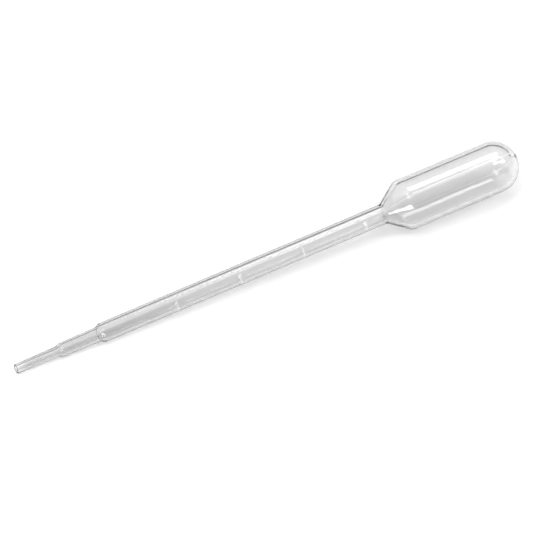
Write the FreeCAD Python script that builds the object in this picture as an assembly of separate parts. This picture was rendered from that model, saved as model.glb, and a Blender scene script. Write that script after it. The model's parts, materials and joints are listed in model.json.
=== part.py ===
"""Plastic dropper pipette: one blow-moulded piece of clear soft polyethylene.

A thin-walled tube is open at its drawn tip and closed at the bulb. From the tip it widens in two
steps to the graduated stem, and a short cone opens it to the squeeze bulb with its round end. The
mould's parting line leaves a fine ridge along both sides and over the bulb's end, and one half of
the mould leaves raised graduation marks on the stem.

The pipette lies as it rests on a table: on the shoulder of its bulb and on the foot of its stem,
tip towards -X and bulb towards +X. The origin is the bottom centre of its bounding box.
"""
import FreeCAD, Part
import math
import os

V = FreeCAD.Vector
CENTRE = V(0, 0, 0)
AXIS = V(1, 0, 0)

# Lengths of the stretches along the pipette's own axis, from the open tip to the bulb (mm)
tip_length = 12.5
tip_step_length = 1.25
middle_length = 11.05
stem_step_length = 1.05
stem_length = 87.3
cone_length = 6.2
bulb_length = 28.45

# Outside diameters (mm); the drawn stretches widen a little towards the bulb
tip_end_diameter = 2.6
tip_root_diameter = 3.0
middle_front_diameter = 3.85
middle_back_diameter = 4.1
stem_front_diameter = 5.35
stem_back_diameter = 5.65
bulb_diameter = 14.4

# Bore of the drawn tip, which is straight, and the wall of each stretch behind it (mm)
tip_bore = 1.5
middle_wall = 0.6
stem_wall = 0.73
neck_wall = 0.9             # the stem's wall thickens towards the neck
bulb_wall = 1.2

# Outside radii of the mould's rounded corners (mm)
step_round = 0.6
neck_round = 2.0
shoulder_round = 2.5

# Parting line of the two mould halves
seam_height = 0.12
seam_width = 0.28
seam_turn = 29.0            # degrees from straight up, towards -Y

# Raised graduation marks, which start near the parting line on the half that faces -Y
mark_count = 4
first_mark = 47.6           # from the open tip (mm)
mark_pitch = 19.5           # a quarter of a millilitre of the stem's bore (mm)
mark_height = 0.2
mark_foot = 0.75            # width of a mark where it leaves the stem (mm)
mark_crest = 0.35           # width of its flat top (mm)
mark_start = 14.0           # degrees past the parting line
mark_arc = 56.0             # degrees of the stem's girth


class Station:
    """One corner of the outline: its place, outside diameter and rounding, and the wall there."""

    def __init__(self, place, diameter, wall, rounding):
        self.place = place
        self.radius = diameter / 2
        self.wall = wall
        self.rounding = rounding


tip_root_place = tip_length
middle_front_place = tip_root_place + tip_step_length
middle_back_place = middle_front_place + middle_length
stem_front_place = middle_back_place + stem_step_length
stem_back_place = stem_front_place + stem_length
bulb_front_place = stem_back_place + cone_length
bulb_back_place = bulb_front_place + bulb_length

stem_front = Station(stem_front_place, stem_front_diameter, stem_wall, step_round)
stem_back = Station(stem_back_place, stem_back_diameter, neck_wall, neck_round)
bulb_front = Station(bulb_front_place, bulb_diameter, bulb_wall, shoulder_round)
outline = [
    Station(0, tip_end_diameter, (tip_end_diameter - tip_bore) / 2, 0),
    Station(tip_root_place, tip_root_diameter, (tip_root_diameter - tip_bore) / 2, step_round),
    Station(middle_front_place, middle_front_diameter, middle_wall, step_round),
    Station(middle_back_place, middle_back_diameter, middle_wall, step_round),
    stem_front,
    stem_back,
    bulb_front,
    Station(bulb_back_place, bulb_diameter, bulb_wall, 0),
]


def offset_corners(depths):
    """The outline's corners moved square to its straight stretches, inwards by each depth."""
    slopes = []
    for front, back in zip(outline, outline[1:]):
        slopes.append(math.atan2(back.radius - front.radius, back.place - front.place))
    moved = []
    for corner, depth, before, after in zip(outline, depths, [slopes[0]] + slopes, slopes + [0]):
        lean = (before + after) / 2
        reach = depth / math.cos((after - before) / 2)
        moved.append(V(corner.place + reach * math.sin(lean), 0,
                       corner.radius - reach * math.cos(lean)))
    moved[0].x = outline[0].place
    return moved


def rounded_edges(points, roundings):
    """Straight edges from point to point, with a tangent arc at each rounded corner."""
    edges = []
    start = points[0]
    for before, corner, after, rounding in zip(points, points[1:], points[2:], roundings[1:]):
        back = (before - corner).normalize()
        ahead = (after - corner).normalize()
        half_angle = back.getAngle(ahead) / 2
        trim = rounding / math.tan(half_angle)
        inward = (back + ahead).normalize()
        centre = corner + inward * (rounding / math.sin(half_angle))
        arc_start = corner + back * trim
        arc_end = corner + ahead * trim
        edges.append(Part.LineSegment(start, arc_start).toShape())
        edges.append(Part.Arc(arc_start, centre - inward * rounding, arc_end).toShape())
        start = arc_end
    edges.append(Part.LineSegment(start, points[-1]).toShape())
    return edges


def half_section(points):
    """Face from the axis up to the outline through the points, with the bulb's round end."""
    edges = rounded_edges(points, [corner.rounding for corner in outline])
    rim = points[-1]
    crest = V(rim.x + rim.z * math.sin(math.pi / 4), 0, rim.z * math.cos(math.pi / 4))
    pole = V(rim.x + rim.z, 0, 0)
    foot = V(points[0].x, 0, 0)
    edges.append(Part.Arc(rim, crest, pole).toShape())
    edges.append(Part.LineSegment(pole, foot).toShape())
    edges.append(Part.LineSegment(foot, points[0]).toShape())
    return Part.Face(Part.Wire(edges))


def turned_solid(points):
    """Round solid inside the outline through the points."""
    return half_section(points).revolve(CENTRE, AXIS, 360)


def outside():
    """The pipette's outer form, filled."""
    return turned_solid(offset_corners([0 for corner in outline]))


def cavity():
    """The space inside, from the straight bore of the tip to the bulb's round end."""
    points = offset_corners([corner.wall for corner in outline])
    points[0].z = tip_bore / 2
    points[1].z = tip_bore / 2
    return turned_solid(points)


def seam_ridges():
    """The parting line: a flat tongue on each side that stands just proud of the outline."""
    raised = offset_corners([-seam_height for corner in outline])
    upper = half_section(raised).extrude(V(0, seam_width, 0))
    upper.translate(V(0, -seam_width / 2, 0))
    lower = upper.copy()
    lower.rotate(CENTRE, AXIS, 180)
    return [upper, lower]


def stem_radius(place):
    """Outside radius of the tapering stem at a place along it."""
    share = (place - stem_front.place) / (stem_back.place - stem_front.place)
    return stem_front.radius + share * (stem_back.radius - stem_front.radius)


def graduation_mark(place):
    """One raised mark: a low bar with sloping sides along an arc of the stem, facing -Y."""
    foot = stem_radius(place) - mark_height
    crest = stem_radius(place) + mark_height
    reach = mark_foot - mark_crest / 2
    corners = [
        V(place - reach, 0, foot),
        V(place - mark_crest / 2, 0, crest),
        V(place + mark_crest / 2, 0, crest),
        V(place + reach, 0, foot),
    ]
    bar = Part.Face(Part.makePolygon(corners + corners[:1])).revolve(CENTRE, AXIS, mark_arc)
    bar.rotate(CENTRE, AXIS, mark_start)
    return bar


def rest_angle():
    """Degrees that the axis rises towards the bulb when the pipette lies on a flat surface."""
    return min(math.degrees(math.atan2(bulb_front.radius - corner.radius,
                                       bulb_front.place - corner.place))
               for corner in outline if corner.place < bulb_front.place)


def pipette():
    """The whole piece, lying at rest with its origin at the bottom centre of its box."""
    marks = [graduation_mark(first_mark + index * mark_pitch) for index in range(mark_count)]
    body = outside().fuse(seam_ridges() + marks)
    body = body.cut(cavity()).removeSplitter()
    body.rotate(CENTRE, AXIS, seam_turn)
    body.rotate(CENTRE, V(0, 1, 0), -rest_angle())
    box = body.optimalBoundingBox(False, False)
    body.translate(V(-box.Center.x, -box.Center.y, -box.ZMin))
    return body


os.makedirs("parts", exist_ok=True)
piece = pipette()
if not piece.isValid() or len(piece.Solids) != 1:
    raise ValueError("the pipette must be one valid solid")
piece.Solids[0].exportStep("parts/pipette_body.step")
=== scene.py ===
# %% [markdown]
# # A clear plastic dropper pipette
# A disposable dropper pipette is one piece of soft, clear polyethylene. It is blown in a mould from
# a single tube, so it has one wall all the way: a fine open tip, a stem with raised marks, and a
# squeeze bulb with a round end. The scene loads the measured solid, makes the clear wall as a closed
# mesh with its true thickness, gives it its plastic, and lights it on a white table.

# %% Tools and the measured model
import json
import math
import bmesh
import bpy
from mathutils import Matrix, Vector


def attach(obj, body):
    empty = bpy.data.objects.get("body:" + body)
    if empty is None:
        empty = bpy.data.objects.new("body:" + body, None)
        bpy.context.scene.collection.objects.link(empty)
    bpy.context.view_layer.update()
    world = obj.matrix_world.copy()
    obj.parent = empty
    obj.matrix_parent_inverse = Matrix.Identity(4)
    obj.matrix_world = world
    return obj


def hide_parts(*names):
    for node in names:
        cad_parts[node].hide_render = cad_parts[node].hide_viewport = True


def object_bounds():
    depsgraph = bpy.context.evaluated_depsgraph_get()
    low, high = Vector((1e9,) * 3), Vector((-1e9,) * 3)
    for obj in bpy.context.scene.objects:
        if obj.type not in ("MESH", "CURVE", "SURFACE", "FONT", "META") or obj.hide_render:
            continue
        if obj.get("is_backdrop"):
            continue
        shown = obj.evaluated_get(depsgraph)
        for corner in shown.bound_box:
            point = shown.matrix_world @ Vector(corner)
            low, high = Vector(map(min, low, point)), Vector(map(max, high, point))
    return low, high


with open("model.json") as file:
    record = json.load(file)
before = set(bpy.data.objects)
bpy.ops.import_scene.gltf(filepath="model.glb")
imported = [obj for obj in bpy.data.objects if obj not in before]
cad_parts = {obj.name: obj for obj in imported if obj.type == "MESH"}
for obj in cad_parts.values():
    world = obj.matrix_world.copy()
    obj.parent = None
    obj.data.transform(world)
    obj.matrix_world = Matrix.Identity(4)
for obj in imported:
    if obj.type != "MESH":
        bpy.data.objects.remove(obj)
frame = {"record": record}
cad_low, cad_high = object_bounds()
MM = 0.001
print("The solid measures", [round((high - low) / MM, 2) for low, high in zip(cad_low, cad_high)], "mm")

# %% [markdown]
# ## The outline and its sizes
# A turned shape is best held as its outline: a few corners, each with its place along the axis and
# its radius. The same corners then give the outside, and, moved inwards by the wall, the inside.
# A blown wall isn't equally thick everywhere, so each corner has a wall of its own. Sizes are in
# millimetres, along the pipette's own axis from the open tip.

# %% Sizes of the stretches
TIP_LENGTH = 12.5
TIP_STEP = 1.25
MIDDLE_LENGTH = 11.05
STEM_STEP = 1.05
STEM_LENGTH = 87.3
CONE_LENGTH = 6.2
BULB_LENGTH = 28.45
TIP_END_RADIUS = 1.3
TIP_ROOT_RADIUS = 1.5
MIDDLE_FRONT_RADIUS = 1.925
MIDDLE_BACK_RADIUS = 2.05
STEM_FRONT_RADIUS = 2.675
STEM_BACK_RADIUS = 2.825
BULB_RADIUS = 7.2
TIP_BORE_RADIUS = 0.75
MIDDLE_WALL = 0.6
STEM_WALL = 0.73
NECK_WALL = 0.9
BULB_WALL = 1.2
STEP_ROUND = 0.6
NECK_ROUND = 2.0
SHOULDER_ROUND = 2.5


def outline_corners():
    """Place, outside radius, wall and rounding of every corner, from the tip to the bulb."""
    shapes = [
        (0.0, TIP_END_RADIUS, TIP_END_RADIUS - TIP_BORE_RADIUS, 0.0),
        (TIP_LENGTH, TIP_ROOT_RADIUS, TIP_ROOT_RADIUS - TIP_BORE_RADIUS, STEP_ROUND),
        (TIP_STEP, MIDDLE_FRONT_RADIUS, MIDDLE_WALL, STEP_ROUND),
        (MIDDLE_LENGTH, MIDDLE_BACK_RADIUS, MIDDLE_WALL, STEP_ROUND),
        (STEM_STEP, STEM_FRONT_RADIUS, STEM_WALL, STEP_ROUND),
        (STEM_LENGTH, STEM_BACK_RADIUS, NECK_WALL, NECK_ROUND),
        (CONE_LENGTH, BULB_RADIUS, BULB_WALL, SHOULDER_ROUND),
        (BULB_LENGTH, BULB_RADIUS, BULB_WALL, 0.0),
    ]
    place = 0.0
    corners = []
    for length, radius, wall, rounding in shapes:
        place += length
        corners.append((place, radius, wall, rounding))
    return corners


corners = outline_corners()
neck_place, shoulder_place = corners[-3][0], corners[-2][0]
print("The outline has", len(corners), "corners over", round(corners[-1][0] + BULB_RADIUS, 2), "mm")


# %% The corners, outside and inside
def offset_corners(depths):
    """The corners moved square to the straight stretches, inwards by each depth."""
    leans = [math.atan2(b[1] - a[1], b[0] - a[0]) for a, b in zip(corners, corners[1:])]
    moved = []
    for corner, depth, before, after in zip(corners, depths, leans[:1] + leans, leans + [0.0]):
        lean = (before + after) / 2
        reach = depth / math.cos((after - before) / 2)
        moved.append(Vector((corner[0] + reach * math.sin(lean), corner[1] - reach * math.cos(lean))))
    return moved


outer_corners = offset_corners([0.0] * len(corners))
inner_corners = offset_corners([corner[2] for corner in corners])
inner_corners[0] = Vector((0.0, TIP_BORE_RADIUS))
inner_corners[1].y = TIP_BORE_RADIUS
print("Inside radius of the bulb", round(inner_corners[-1].y, 2), "mm")

# %% [markdown]
# ### Rounded corners
# A mould has no sharp corners, and soft plastic could not fill them. Each corner becomes an arc
# that runs smoothly into the straight stretches beside it. In clear plastic these small arcs
# matter, because each one bends the light that passes through it.

# %% Rounding
ARC_STEPS = 10


def arc(centre, start, sweep, steps):
    """Points on a turn of the arm start about the centre."""
    return [centre + Matrix.Rotation(-sweep * step / steps, 2) @ start for step in range(steps + 1)]


def rounded(points, roundings):
    """The points joined by straight runs, with each rounded corner replaced by a tangent arc."""
    line = [points[0]]
    for before, corner, after, rounding in zip(points, points[1:], points[2:], roundings[1:]):
        back = (before - corner).normalized()
        ahead = (after - corner).normalized()
        half = back.angle(ahead) / 2
        centre = corner + (back + ahead).normalized() * (rounding / math.sin(half))
        sweep = math.copysign(math.pi - 2 * half, back.x * ahead.y - back.y * ahead.x)
        line += arc(centre, corner + back * (rounding / math.tan(half)) - centre, sweep, ARC_STEPS)
    return line + [points[-1]]


def round_end(rim, steps):
    """The bulb's quarter circle from its rim to its pole, with closer rings towards the pole."""
    centre = Vector((rim.x, 0.0))
    turns = [math.pi / 2 * math.sin(math.pi / 2 * step / steps) for step in range(1, steps + 1)]
    return [centre + rim.y * Vector((math.sin(turn), math.cos(turn))) for turn in turns[:-1]] \
        + [centre + Vector((rim.y, 0.0))]


roundings = [corner[3] for corner in corners]
outside = rounded(outer_corners, roundings)
inside = rounded(inner_corners, roundings)
print("Rounded outline:", len(outside), "points outside,", len(inside), "inside")

# %% [markdown]
# ### Rows where something happens
# The raised marks need close rows across them, and the long stem needs a few more, so that a soft
# unevenness of its inner wall can show. Rows are dear in a turned mesh, because each one costs a
# whole ring of faces, so they are put in only where they are wanted.

# %% Extra rows
FIRST_MARK = 47.6
MARK_PITCH = 19.5
MARK_COUNT = 4
MARK_HEIGHT = 0.2
MARK_WIDTH = 1.1
MARK_FLANK = 0.33
ROWS_ACROSS_MARK = 14
ROW_PITCH = 3.0
ROW_CLEARANCE = 0.02
OUTER_END_ROWS = 32
INNER_END_ROWS = 28


def spaced(line, places):
    """The line with an extra point wherever it passes one of the places."""
    fine = [line[0]]
    for a, b in zip(line, line[1:]):
        within = [place for place in places if a.x + ROW_CLEARANCE < place < b.x - ROW_CLEARANCE]
        fine += [a.lerp(b, (place - a.x) / (b.x - a.x)) for place in within]
        fine.append(b)
    return fine


mark_places = [FIRST_MARK + MARK_PITCH * index for index in range(MARK_COUNT)]
mark_rows = [place + MARK_WIDTH * (step / ROWS_ACROSS_MARK - 0.5)
             for place in mark_places for step in range(ROWS_ACROSS_MARK + 1)]
plain_rows = [ROW_PITCH * step for step in range(1, int(corners[-1][0] / ROW_PITCH))]
outside = spaced(outside, sorted(mark_rows + plain_rows)) + round_end(outside[-1], OUTER_END_ROWS)
inside = spaced(inside, plain_rows) + round_end(inside[-1], INNER_END_ROWS)
print("With the extra rows:", len(outside), "outside,", len(inside), "inside")

# %% [markdown]
# ### One line for the whole wall
# The outline is drawn as one line: from the inner pole of the bulb down the inside, over the open
# rim of the tip, and back along the outside to the outer pole. Turned about the axis, it makes a
# closed skin with the wall between its two sides, which is what glass and clear plastic need: the
# light then enters and leaves the plastic twice, as it does in the real thing. Each point also
# carries the direction that faces out of the wall, for the ridges that stand on the outside.

# %% The line as a mesh
RIM_ROUND = 0.06
RIM_STEPS = 4


def rim_arc(centre, first_turn):
    """A quarter turn over one edge of the cut rim."""
    turns = [math.radians(first_turn - 90 * step / RIM_STEPS) for step in range(RIM_STEPS + 1)]
    return [centre + RIM_ROUND * Vector((math.cos(turn), math.sin(turn))) for turn in turns]


def wall_line():
    """Points of the line, each with its outward direction, which is nought on the inside."""
    nowhere = Vector((0.0, 0.0))
    rim = rim_arc(inside[0] + Vector((RIM_ROUND, RIM_ROUND)), -90)
    rim += rim_arc(outside[0] + Vector((RIM_ROUND, -RIM_ROUND)), 180)
    line = [(point, nowhere) for point in list(reversed(inside[1:])) + rim]
    for before, point, after in zip(outside, outside[1:], outside[2:]):
        way = (after - before).normalized()
        line.append((point, Vector((-way.y, way.x))))
    return line + [(outside[-1], Vector((1.0, 0.0)))]


def outline_object(name):
    """The line as a mesh of edges in the XZ plane, with its directions as an attribute."""
    line = wall_line()
    mesh = bpy.data.meshes.new(name)
    mesh.from_pydata([(point.x, 0.0, point.y) for point, _ in line],
                     [(index, index + 1) for index in range(len(line) - 1)], [])
    outward = mesh.attributes.new("outward", "FLOAT_VECTOR", "POINT")
    for index, (_, way) in enumerate(line):
        outward.data[index].vector = (way.x, 0.0, way.y)
    piece = bpy.data.objects.new(name, mesh)
    bpy.context.scene.collection.objects.link(piece)
    return piece


shell = outline_object("pipette_shell")
print("The wall's line has", len(shell.data.vertices), "points")

# %% [markdown]
# ## Turning the outline with Geometry Nodes
# Spin or the Screw modifier would turn the line, but the ridges would then have to be cut in
# afterwards. Geometry Nodes do both in one pass. A grid gets one row for each point of the line and
# one column for each step round the axis, and every vertex is then set to its place: the point's
# own place and radius, plus the height of whatever stands proud there.

# %% A helper that wires nodes
class Wiring:
    """Short calls for building one node tree."""

    def __init__(self, tree, source="NodeGroupInput"):
        self.tree = tree
        self.source = tree.nodes.new(source)

    def node(self, kind, inputs=None, **settings):
        made = self.tree.nodes.new(kind)
        for key, value in settings.items():
            setattr(made, key, value)
        for key, value in (inputs or {}).items():
            self.feed(made.inputs[key], value)
        return made

    def feed(self, socket, value):
        if isinstance(value, bpy.types.NodeSocket):
            self.tree.links.new(value, socket)
        elif value is not None:
            socket.default_value = value

    def math(self, operation, a, b=None, c=None):
        return self.node("ShaderNodeMath", {0: a, 1: b, 2: c}, operation=operation).outputs[0]

    def ease(self, value, start, end, low=0.0, high=1.0):
        """A smooth change from low to high while the value goes from start to end."""
        return self.node("ShaderNodeMapRange", {"Value": value, "From Min": start, "From Max": end,
                                                "To Min": low, "To Max": high},
                         interpolation_type="SMOOTHSTEP").outputs[0]

    def named(self, name, value, kind="NodeSocketFloat"):
        """A named input of the tree, with its usual value."""
        socket = self.tree.interface.new_socket(name, in_out="INPUT", socket_type=kind)
        if value is not None:
            socket.default_value = value
        return self.source.outputs[name]


# %% [markdown]
# ### What stands proud
# Two things stand on the outside. The parting line of the mould is a low ridge that runs along both
# sides and over the bulb's end. The graduation marks are short raised bars on the half of the stem
# that faces the front. Both have even flanks and a flat crest, as a cut in the mould leaves them,
# so one formula serves both: a height that depends on the distance from the ridge's middle.

# %% The parting line and the marks as heights
SEAM_HEIGHT = 0.1
SEAM_WIDTH = 0.96
SEAM_FLANK = 0.45
SEAM_SHARE = 0.5
SEAM_TURN = math.radians(29)
MARK_START = math.radians(21)
MARK_ARC = math.radians(42)


def ridge(w, distance, width, flank, height):
    """Height of a ridge with even flanks and a flat crest, at a distance from its middle."""
    past_foot = w.math("SUBTRACT", w.math("MULTIPLY", width, 0.5), distance)
    rise = w.math("MULTIPLY", w.math("DIVIDE", past_foot, flank), height)
    return w.math("MINIMUM", w.math("MAXIMUM", rise, 0.0), height)


def seam_height(w, place, radius, angle):
    """Height of the parting line's ridge, which is finer on the stem than on the bulb."""
    finer = w.named("Seam Share", SEAM_SHARE)
    share = w.ease(place, neck_place, shoulder_place, finer, 1.0)
    sizes = [w.math("MULTIPLY", w.named(name, value), share)
             for name, value in (("Seam Width", SEAM_WIDTH), ("Seam Flank", SEAM_FLANK),
                                 ("Seam Height", SEAM_HEIGHT))]
    distance = w.math("ABSOLUTE", w.math("MULTIPLY", radius, w.math("SINE", angle)))
    return ridge(w, distance, *sizes)


def mark_height(w, place, radius, angle):
    """Height of the nearest graduation mark, which falls away round its ends as well."""
    first = w.named("First Mark", FIRST_MARK)
    pitch = w.named("Mark Pitch", MARK_PITCH)
    count = w.named("Mark Count", MARK_COUNT, "NodeSocketInt")
    height = w.named("Mark Height", MARK_HEIGHT)
    width = w.named("Mark Width", MARK_WIDTH)
    reach = w.named("Mark Arc", MARK_ARC)
    steps = w.math("ROUND", w.math("DIVIDE", w.math("SUBTRACT", place, first), pitch))
    steps = w.math("MINIMUM", w.math("MAXIMUM", steps, 0.0), w.math("SUBTRACT", count, 1.0))
    along = w.math("SUBTRACT", place, w.math("MULTIPLY_ADD", steps, pitch, first))
    middle = w.math("MULTIPLY_ADD", reach, 0.5, w.named("Mark Start", MARK_START))
    from_middle = w.math("ABSOLUTE", w.math("WRAP", w.math("SUBTRACT", angle, middle),
                                            math.pi, -math.pi))
    past_end = w.math("MAXIMUM", w.math("SUBTRACT", from_middle, w.math("MULTIPLY", reach, 0.5)), 0.0)
    sideways = w.math("MULTIPLY", past_end, radius)
    squares = w.math("ADD", w.math("MULTIPLY", along, along), w.math("MULTIPLY", sideways, sideways))
    flank = w.named("Mark Flank", MARK_FLANK)
    return ridge(w, w.math("SQRT", squares), width, flank, height)


# %% [markdown]
# ### The whole tree
# Columns are gathered near the parting line, where the surface turns quickly, and spread out
# elsewhere. A blown wall is a little uneven on the side that no mould touches, so a faint swell
# moves the inner points in and out. The tree also lays the pipette down: a turn about its own axis
# brings the parting line round, and a rise lifts the bulb's end, because the bulb is thicker than
# the stem it lies with.
#
# Last, it writes on each vertex how pale the plastic is there, for the finish to read. The ridges
# are the palest: painted highlight that makes the seam and the marks lighter. The bulb is a little
# paler than the stem: painted light that makes the bulb brighter. The inside takes no colour at all,
# so each wall counts once.

# %% The turning tree
COLUMNS = 256
GATHER = 0.85
WAVE = 0.003
WAVE_SCALE = 0.5
WAVE_STRETCH = 0.3
# Painted light: how much paler the bulb is made than the stem, so it looks brighter.
BULB_PAINTED_LIGHT = 0.35
JOINED = 1e-5

bore = next(mount for mount in frame["record"]["mounts"] if mount["name"] == "tip_bore")
RISE = math.asin(-bore["axis"][2])
print("The axis rises", round(math.degrees(RISE), 2), "degrees towards the bulb")


def line_values(w, line, row):
    """Place, radius and outward direction of the line's point for each row."""
    values = []
    for field in (w.node("GeometryNodeInputPosition").outputs[0],
                  w.node("GeometryNodeInputNamedAttribute", {"Name": "outward"},
                         data_type="FLOAT_VECTOR").outputs["Attribute"]):
        sample = w.node("GeometryNodeSampleIndex", {"Geometry": line, "Value": field, "Index": row},
                        data_type="FLOAT_VECTOR")
        parts = w.node("ShaderNodeSeparateXYZ", {0: sample.outputs["Value"]})
        values += [parts.outputs["X"], parts.outputs["Z"]]
    return values


def spot(w, place, radius, angle):
    """The vertex at a place, a radius and an angle about the axis."""
    across = w.math("MULTIPLY", w.math("MULTIPLY", radius, w.math("SINE", angle)), -1.0)
    up = w.math("MULTIPLY", radius, w.math("COSINE", angle))
    return w.node("ShaderNodeCombineXYZ", {"X": place, "Y": across, "Z": up}).outputs[0]


def turning_tree():
    """A tree that turns a line into a closed wall, with its ridges, and lays it down."""
    tree = bpy.data.node_groups.new("turn_the_outline", "GeometryNodeTree")
    tree.is_modifier = True
    tree.interface.new_socket("Geometry", in_out="OUTPUT", socket_type="NodeSocketGeometry")
    tree.interface.new_socket("Geometry", in_out="INPUT", socket_type="NodeSocketGeometry")
    w = Wiring(tree)
    line = w.source.outputs["Geometry"]
    columns = w.named("Columns", COLUMNS, "NodeSocketInt")
    gather = w.named("Gather", GATHER)
    wave = w.named("Wave", WAVE)

    rows = w.node("GeometryNodeAttributeDomainSize", {"Geometry": line}).outputs["Point Count"]
    around = w.math("ADD", columns, 1.0)
    grid = w.node("GeometryNodeMeshGrid", {"Vertices X": rows, "Vertices Y": around})
    index = w.node("GeometryNodeInputIndex").outputs[0]
    row = w.math("FLOOR", w.math("DIVIDE", w.math("ADD", index, 0.5), around))
    turn = w.math("DIVIDE", w.math("SUBTRACT", index, w.math("MULTIPLY", row, around)), columns)
    gathered = w.math("MULTIPLY", w.math("SINE", w.math("MULTIPLY", turn, 4 * math.pi)),
                      w.math("MULTIPLY", gather, 0.5))
    angle = w.math("SUBTRACT", w.math("MULTIPLY", turn, 2 * math.pi), gathered)

    place, radius, away_along, away_out = line_values(w, line, row)
    seam = seam_height(w, place, radius, angle)
    mark = mark_height(w, place, radius, angle)
    height = w.math("MAXIMUM", seam, mark)
    inner = w.math("SUBTRACT", 1.0, w.math("ADD", w.math("ABSOLUTE", away_along),
                                           w.math("ABSOLUTE", away_out)))
    stretched = spot(w, w.math("MULTIPLY", place, WAVE_STRETCH), radius, angle)
    swell = w.node("ShaderNodeTexNoise", {"Vector": stretched, "Scale": WAVE_SCALE,
                                          "Detail": 1.0}).outputs[0]
    swell = w.math("MULTIPLY", w.math("SUBTRACT", swell, 0.5), w.math("MULTIPLY", wave, radius))
    swell = w.math("MULTIPLY", swell, w.math("MAXIMUM", inner, 0.0))
    place = w.math("MULTIPLY_ADD", away_along, height, place)
    radius = w.math("ADD", w.math("MULTIPLY_ADD", away_out, height, radius), swell)

    # Painted highlight: the ridges' share of their height makes the seam and the marks paler, so they
    # look lit.
    ridges = w.math("MAXIMUM", w.math("DIVIDE", seam, w.source.outputs["Seam Height"]),
                    w.math("DIVIDE", mark, w.source.outputs["Mark Height"]))
    # Painted light: the bulb is made paler than the stem, so it looks brighter.
    painted_bulb_light = w.ease(place, neck_place, shoulder_place, 0.0, w.named("Bulb Painted Light", BULB_PAINTED_LIGHT))
    # Paleness: 1 on the inside, which takes no colour, and the painted highlight and painted light
    # elsewhere.
    pale_and_painted_light = w.math("MAXIMUM", w.math("MAXIMUM", ridges, painted_bulb_light), w.math("GREATER_THAN", inner, 0.5))
    skin = w.node("GeometryNodeStoreNamedAttribute", {"Geometry": grid.outputs["Mesh"],
                                                      "Name": "pale_and_painted_light", "Value": pale_and_painted_light})
    skin = w.node("GeometryNodeSetPosition", {"Geometry": skin.outputs[0],
                                              "Position": spot(w, place, radius, angle)})
    skin = w.node("GeometryNodeMergeByDistance", {"Geometry": skin.outputs[0], "Distance": JOINED})
    skin = w.node("GeometryNodeFlipFaces", {"Mesh": skin.outputs[0]})
    lie = w.node("ShaderNodeCombineXYZ", {"X": w.named("Seam Turn", SEAM_TURN),
                                          "Y": w.math("MULTIPLY", w.named("Rise", RISE), -1.0)})
    lie = w.node("FunctionNodeEulerToRotation", {0: lie.outputs[0]})
    skin = w.node("GeometryNodeTransform", {"Geometry": skin.outputs[0], "Rotation": lie.outputs[0],
                                            "Scale": (MM, MM, MM)})
    skin = w.node("GeometryNodeSetShadeSmooth", {"Geometry": skin.outputs[0], "Shade Smooth": True})
    skin = w.node("GeometryNodeRealizeInstances", {"Geometry": skin.outputs[0]})
    skin = w.node("GeometryNodeSetMaterial", {"Geometry": skin.outputs[0],
                                              "Material": w.named("Material", None,
                                                                  "NodeSocketMaterial")})
    w.node("NodeGroupOutput", {"Geometry": skin.outputs[0]})
    print("The turning tree has", len(tree.nodes), "nodes")
    return tree


# %% [markdown]
# ## Finishes
# Moulded plastic is never quite even, and nor is a painted table. Both finishes share one effect:
# a soft, cloudy unevenness that can vary the roughness and raise a faint relief. It is built once,
# as a group with named inputs, and each material sets its own values.

# %% A shared unevenness
FINE_SCALE = 5.0
FINE_SHARE = 0.25
CLOUD_START = 0.3
CLOUD_END = 0.7


def uneven_group():
    """A group that gives a cloudy value between two levels, and a height for a bump."""
    group = bpy.data.node_groups.new("soft_unevenness", "ShaderNodeTree")
    w = Wiring(group)
    vector = w.named("Vector", None, "NodeSocketVector")
    scale = w.named("Scale", 200.0)
    least = w.named("Least", 0.0)
    most = w.named("Most", 1.0)
    for name in ("Value", "Height"):
        group.interface.new_socket(name, in_out="OUTPUT", socket_type="NodeSocketFloat")
    broad = w.node("ShaderNodeTexNoise", {"Vector": vector, "Scale": scale, "Detail": 2.0})
    fine = w.node("ShaderNodeTexNoise", {"Vector": vector, "Scale": w.math("MULTIPLY", scale, FINE_SCALE),
                                         "Detail": 3.0})
    value = w.ease(broad.outputs[0], CLOUD_START, CLOUD_END, least, most)
    height = w.math("ADD", broad.outputs[0], w.math("MULTIPLY", fine.outputs[0], FINE_SHARE))
    w.node("NodeGroupOutput", {"Value": value, "Height": height})
    return group


uneven = uneven_group()
print("Shared effect:", uneven.name)


def add_unevenness(w, scale, least, most, stretch=(1.0, 1.0, 1.0)):
    """Place the shared effect in a material on the piece's own coordinates."""
    mapping = w.node("ShaderNodeMapping", {"Vector": w.source.outputs["Object"], "Scale": stretch})
    effect = w.node("ShaderNodeGroup", node_tree=uneven)
    w.feed(effect.inputs["Vector"], mapping.outputs[0])
    for name, value in (("Scale", scale), ("Least", least), ("Most", most)):
        effect.inputs[name].default_value = value
    return effect


# %% [markdown]
# ### Clear polyethylene
# Thin low-density polyethylene is nearly clear. It bends light with an index of about 1.5, takes
# away a little of it at every pass, and scatters a little more at its soft, slightly wavy skin. A
# fully transmissive Principled shader on a mesh with a real wall shows all of this. Where the skin
# is seen edge-on, its colour is made much darker: painted shade that draws grey lines along the rims.
# The colour then fades to plain white by the share of paleness that the turning tree has written:
# the clear inside, with painted highlight on the ridges and painted light on the bulb.

# %% The plastic
PLASTIC_IOR = 1.5
TINT = 0.72
# Painted shade: the much darker colour of the plastic where it is seen edge-on.
EDGE_PAINTED_SHADE = 0.25
EDGE_START = 0.55
EDGE_END = 0.72
ROUGH_LEAST = 0.01
ROUGH_MOST = 0.04
CLOUD_SCALE = 260.0
CLOUD_STRETCH = (0.3, 1.0, 1.0)
BUMP = 0.01
BUMP_DISTANCE = 0.0005


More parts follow.
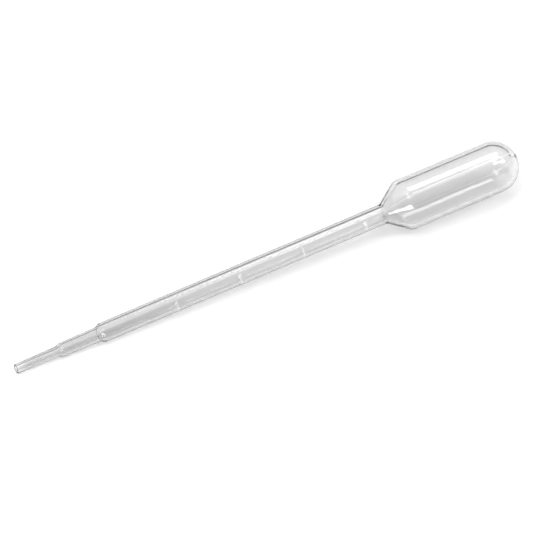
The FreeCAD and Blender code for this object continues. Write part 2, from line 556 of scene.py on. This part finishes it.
def clear_polyethylene():
    """Nearly clear plastic with painted shade at the edge, painted light on ridges and bulb, and a
    faintly uneven gloss.
    """
    material = bpy.data.materials.new("clear_polyethylene")
    material.use_nodes = True
    w = Wiring(material.node_tree, "ShaderNodeTexCoord")
    shader = w.tree.nodes["Principled BSDF"]
    shader.inputs["Transmission Weight"].default_value = 1.0
    shader.inputs["IOR"].default_value = PLASTIC_IOR
    # Painted shade: the colour darkens where the skin is seen edge-on, drawing grey rims.
    facing = w.node("ShaderNodeLayerWeight", {"Blend": 0.5}).outputs["Facing"]
    edge = w.ease(facing, EDGE_START, EDGE_END)
    colour = w.node("ShaderNodeMix", {"Factor": edge}, data_type="RGBA")
    colour.inputs["A"].default_value = (TINT, TINT, TINT, 1.0)
    colour.inputs["B"].default_value = (EDGE_PAINTED_SHADE, EDGE_PAINTED_SHADE, EDGE_PAINTED_SHADE, 1.0)
    # Fade to white by paleness: the clear inside, plus painted highlight on the ridges and painted light
    # on the bulb.
    pale_and_painted_light = w.node("ShaderNodeAttribute", attribute_name="pale_and_painted_light").outputs["Fac"]
    faded = w.node("ShaderNodeMix", {"Factor": pale_and_painted_light}, data_type="RGBA")
    w.feed(faded.inputs["A"], colour.outputs["Result"])
    faded.inputs["B"].default_value = (1.0, 1.0, 1.0, 1.0)
    w.feed(shader.inputs["Base Color"], faded.outputs["Result"])
    effect = add_unevenness(w, CLOUD_SCALE, ROUGH_LEAST, ROUGH_MOST, CLOUD_STRETCH)
    w.feed(shader.inputs["Roughness"], effect.outputs["Value"])
    bump = w.node("ShaderNodeBump", {"Strength": BUMP, "Distance": BUMP_DISTANCE,
                                     "Height": effect.outputs["Height"]})
    w.feed(shader.inputs["Normal"], bump.outputs[0])
    return material


plastic = clear_polyethylene()
print("Made", plastic.name)

# %% [markdown]
# ## Making the wall
# The tree's inputs are set by their identifiers, and the result is taken from the evaluated object
# as a plain mesh. Its place is worked out from the solid: the two boxes share their centre.


# %% The turned wall, made and placed
def set_inputs(modifier, values):
    """Set the modifier's named inputs through their identifiers."""
    for item in modifier.node_group.interface.items_tree:
        if item.item_type == "SOCKET" and item.in_out == "INPUT" and item.name in values:
            modifier[item.identifier] = values[item.name]


def mesh_box(mesh):
    """Lowest and highest corners of a mesh."""
    axes = list(zip(*(vertex.co for vertex in mesh.vertices)))
    return Vector([min(axis) for axis in axes]), Vector([max(axis) for axis in axes])


def bake(piece, tree, values):
    """Run the tree on the piece and keep the result as its plain mesh."""
    modifier = piece.modifiers.new("turn", "NODES")
    modifier.node_group = tree
    set_inputs(modifier, values)
    bpy.context.view_layer.update()
    evaluated = piece.evaluated_get(bpy.context.evaluated_depsgraph_get())
    baked = bpy.data.meshes.new_from_object(evaluated)
    piece.modifiers.clear()
    piece.data = baked
    return baked


wall = bake(shell, turning_tree(), {"Material": plastic})
low, high = mesh_box(wall)
wall.transform(Matrix.Translation((cad_low + cad_high) / 2 - (low + high) / 2))
print("The wall has", len(wall.polygons), "faces and measures",
      [round(size / MM, 2) for size in high - low], "mm")


# %% Check that the wall is closed and faces outwards
def wall_volume(mesh):
    """Signed volume of a mesh, and the number of edges that are not closed."""
    work = bmesh.new()
    work.from_mesh(mesh)
    volume = work.calc_volume(signed=True)
    open_edges = sum(1 for edge in work.edges if not edge.is_manifold)
    work.free()
    return volume, open_edges


volume, open_edges = wall_volume(wall)
print("Plastic", round(volume / MM ** 3), "cubic millimetres, open edges", open_edges)
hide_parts("pipette_body")
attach(shell, "root")

# %% [markdown]
# ## The table
# The pipette lies on a plain white table. Its matt face takes the shadow. A little light of its own
# keeps it white, and only rays that come from the camera, or that pass through or off the plastic,
# see that light, so it puts nothing more on the pipette.

# %% The white table
TABLE_SIZE = 3.0
TABLE_WHITE = 0.7
TABLE_LIFT = 0.42
TABLE_CLOUD_SCALE = 90.0
TABLE_ROUGH_LEAST = 0.85
TABLE_ROUGH_MOST = 0.95
TABLE_BUMP = 0.02
TABLE_BUMP_DISTANCE = 0.0002


def white_table_finish():
    """Matt white paint with a lift that lights nothing."""
    material = bpy.data.materials.new("white_table")
    material.use_nodes = True
    w = Wiring(material.node_tree, "ShaderNodeTexCoord")
    paint = w.tree.nodes["Principled BSDF"]
    paint.inputs["Base Color"].default_value = (TABLE_WHITE, TABLE_WHITE, TABLE_WHITE, 1.0)
    paint.inputs["Specular IOR Level"].default_value = 0.0
    effect = add_unevenness(w, TABLE_CLOUD_SCALE, TABLE_ROUGH_LEAST, TABLE_ROUGH_MOST)
    w.feed(paint.inputs["Roughness"], effect.outputs["Value"])
    bump = w.node("ShaderNodeBump", {"Strength": TABLE_BUMP, "Distance": TABLE_BUMP_DISTANCE,
                                     "Height": effect.outputs["Height"]})
    w.feed(paint.inputs["Normal"], bump.outputs[0])
    path = w.node("ShaderNodeLightPath")
    seen = w.math("MAXIMUM", path.outputs["Is Camera Ray"],
                  w.math("MAXIMUM", path.outputs["Is Glossy Ray"], path.outputs["Is Transmission Ray"]))
    lift = w.node("ShaderNodeEmission", {"Color": (1.0, 1.0, 1.0, 1.0),
                                         "Strength": w.math("MULTIPLY", seen, TABLE_LIFT)})
    both = w.node("ShaderNodeAddShader", {0: paint.outputs[0], 1: lift.outputs[0]})
    w.feed(w.tree.nodes["Material Output"].inputs["Surface"], both.outputs[0])
    return material


def table_top():
    """A flat square under the pipette."""
    half = TABLE_SIZE / 2
    mesh = bpy.data.meshes.new("table")
    mesh.from_pydata([(-half, -half, 0), (half, -half, 0), (half, half, 0), (-half, half, 0)],
                     [], [(0, 1, 2, 3)])
    mesh.materials.append(white_table_finish())
    table = bpy.data.objects.new("table", mesh)
    bpy.context.scene.collection.objects.link(table)
    table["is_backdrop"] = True


table_top()
print("Table", TABLE_SIZE, "m square")

# %% [markdown]
# ## The room
# Clear things are drawn by what surrounds them. The room is brighter overhead than low down, and
# dimmer again on the side that the camera stands on, so a rim seen edge-on bends the view to a
# darker part and shows as a grey line. The camera itself sees plain white beyond the table.

# %% The room's light
ROOM_LOW = 0.25
ROOM_HIGH = 0.5
ROOM_FRONT = 0.3
LOW_EDGE = 10.0
HIGH_EDGE = 45.0
FRONT_FULL = -0.3
FRONT_GONE = 0.1


def room():
    """A world that is darker low down and on the near side, and white to the camera."""
    world = bpy.data.worlds.new("room")
    bpy.context.scene.world = world
    world.use_nodes = True
    w = Wiring(world.node_tree, "ShaderNodeTexCoord")
    way = w.node("ShaderNodeSeparateXYZ", {0: w.source.outputs["Generated"]})
    far_side = w.ease(way.outputs["Z"], math.sin(math.radians(LOW_EDGE)),
                      math.sin(math.radians(HIGH_EDGE)), ROOM_LOW, ROOM_HIGH)
    level = w.ease(way.outputs["Y"], FRONT_FULL, FRONT_GONE, ROOM_FRONT, far_side)
    light = w.tree.nodes["Background"]
    light.inputs["Color"].default_value = (1.0, 1.0, 1.0, 1.0)
    w.feed(light.inputs["Strength"], level)
    white = w.node("ShaderNodeBackground", {"Color": (1.0, 1.0, 1.0, 1.0), "Strength": 1.0})
    path = w.node("ShaderNodeLightPath")
    mix = w.node("ShaderNodeMixShader", {0: path.outputs["Is Camera Ray"], 1: light.outputs[0],
                                         2: white.outputs[0]})
    w.feed(w.tree.nodes["World Output"].inputs["Surface"], mix.outputs[0])


room()
print("Room light from", ROOM_LOW, "low down to", ROOM_HIGH, "overhead")

# %% [markdown]
# ## The lamps
# A softbox overhead, a little behind, draws the bright band along the bulb and the stem, and its
# ends set where that band ends. The other boxes stand where a long round wall never mirrors them
# into the camera, so its middle stays grey. The strongest is nearly overhead on the near side and
# towards the tip: it lights the table, and throws the soft shadow. The low one at the left
# catches the cone and the marks, and the right one catches the bulb's round end.

# %% Softboxes
OVER_ALONG = 0.365
OVER_TILT = 14.0
OVER_WIDE = 0.4
OVER_TALL = 0.15
OVER_LEVEL = 7.5
FRONT_ALONG = -0.32
FRONT_TILT = -12.0
FRONT_WIDE = 0.5
FRONT_TALL = 0.3
FRONT_LEVEL = 7.5
LEFT_ALONG = -0.62
LEFT_TILT = -70.0
LEFT_WIDE = 0.36
LEFT_TALL = 0.3
LEFT_LEVEL = 13.0
RIGHT_ALONG = 0.54
RIGHT_TILT = -32.0
RIGHT_WIDE = 0.2
RIGHT_TALL = 0.25
RIGHT_LEVEL = 11.0


def towards(along, tilt):
    """Direction with a share along the pipette, tilted from straight up towards the far side."""
    rest = math.sqrt(1 - along ** 2)
    return Vector((along, rest * math.sin(math.radians(tilt)), rest * math.cos(math.radians(tilt))))


def softbox(name, way, wide, tall, level):
    """A rectangular lamp a metre off, aimed at the origin, whose face has the given brightness."""
    lamp = bpy.data.lights.new(name, "AREA")
    lamp.shape = "RECTANGLE"
    lamp.size = wide
    lamp.size_y = tall
    lamp.energy = level * math.pi * wide * tall
    holder = bpy.data.objects.new(name, lamp)
    holder.location = way
    holder.rotation_euler = way.to_track_quat("Z", "Y").to_euler()
    bpy.context.scene.collection.objects.link(holder)
    print(name, "puts", round(level * wide * tall * way.z / math.pi, 2), "on the table")


softbox("overhead_softbox", towards(OVER_ALONG, OVER_TILT), OVER_WIDE, OVER_TALL, OVER_LEVEL)
softbox("front_softbox", towards(FRONT_ALONG, FRONT_TILT), FRONT_WIDE, FRONT_TALL, FRONT_LEVEL)
softbox("left_softbox", towards(LEFT_ALONG, LEFT_TILT), LEFT_WIDE, LEFT_TALL, LEFT_LEVEL)
softbox("right_softbox", towards(RIGHT_ALONG, RIGHT_TILT), RIGHT_WIDE, RIGHT_TALL, RIGHT_LEVEL)

# %% [markdown]
# ## The camera
# A long lens looks down on the pipette from the front left, so that it crosses the frame from the
# lower left to the upper right.

# %% The camera
CAMERA_TURN = -29.662
CAMERA_RISE = 42.0
CAMERA_DISTANCE = 1.55
CAMERA_LENS = 388.41
LOOK_AT = Vector((-1.124, -0.059, 4.0))
FARTHEST_SEEN = 10


def camera():
    """The camera, aimed at a point near the middle of the pipette."""
    turn, rise = math.radians(CAMERA_TURN), math.radians(CAMERA_RISE)
    back = Vector((math.sin(turn) * math.cos(rise), -math.cos(turn) * math.cos(rise), math.sin(rise)))
    view = bpy.data.cameras.new("camera")
    view.lens = CAMERA_LENS
    view.clip_end = FARTHEST_SEEN
    holder = bpy.data.objects.new("camera", view)
    holder.location = LOOK_AT * MM + back * CAMERA_DISTANCE
    holder.rotation_euler = back.to_track_quat("Z", "Y").to_euler()
    bpy.context.scene.collection.objects.link(holder)
    bpy.context.scene.camera = holder
    print("The camera stands", [round(value, 3) for value in holder.location], "m from the origin")


camera()
bpy.context.scene.view_settings.view_transform = "Standard"

# %% [markdown]
# ## Sizes of the dressed part
# Both boxes are printed: the solid's near the start, and the dressed part's here. The dressed
# part has to keep the solid's size.

# %% The dressed part's box
low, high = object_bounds()
print("The dressed part measures", [round((b - a) / MM, 2) for a, b in zip(low, high)], "mm")
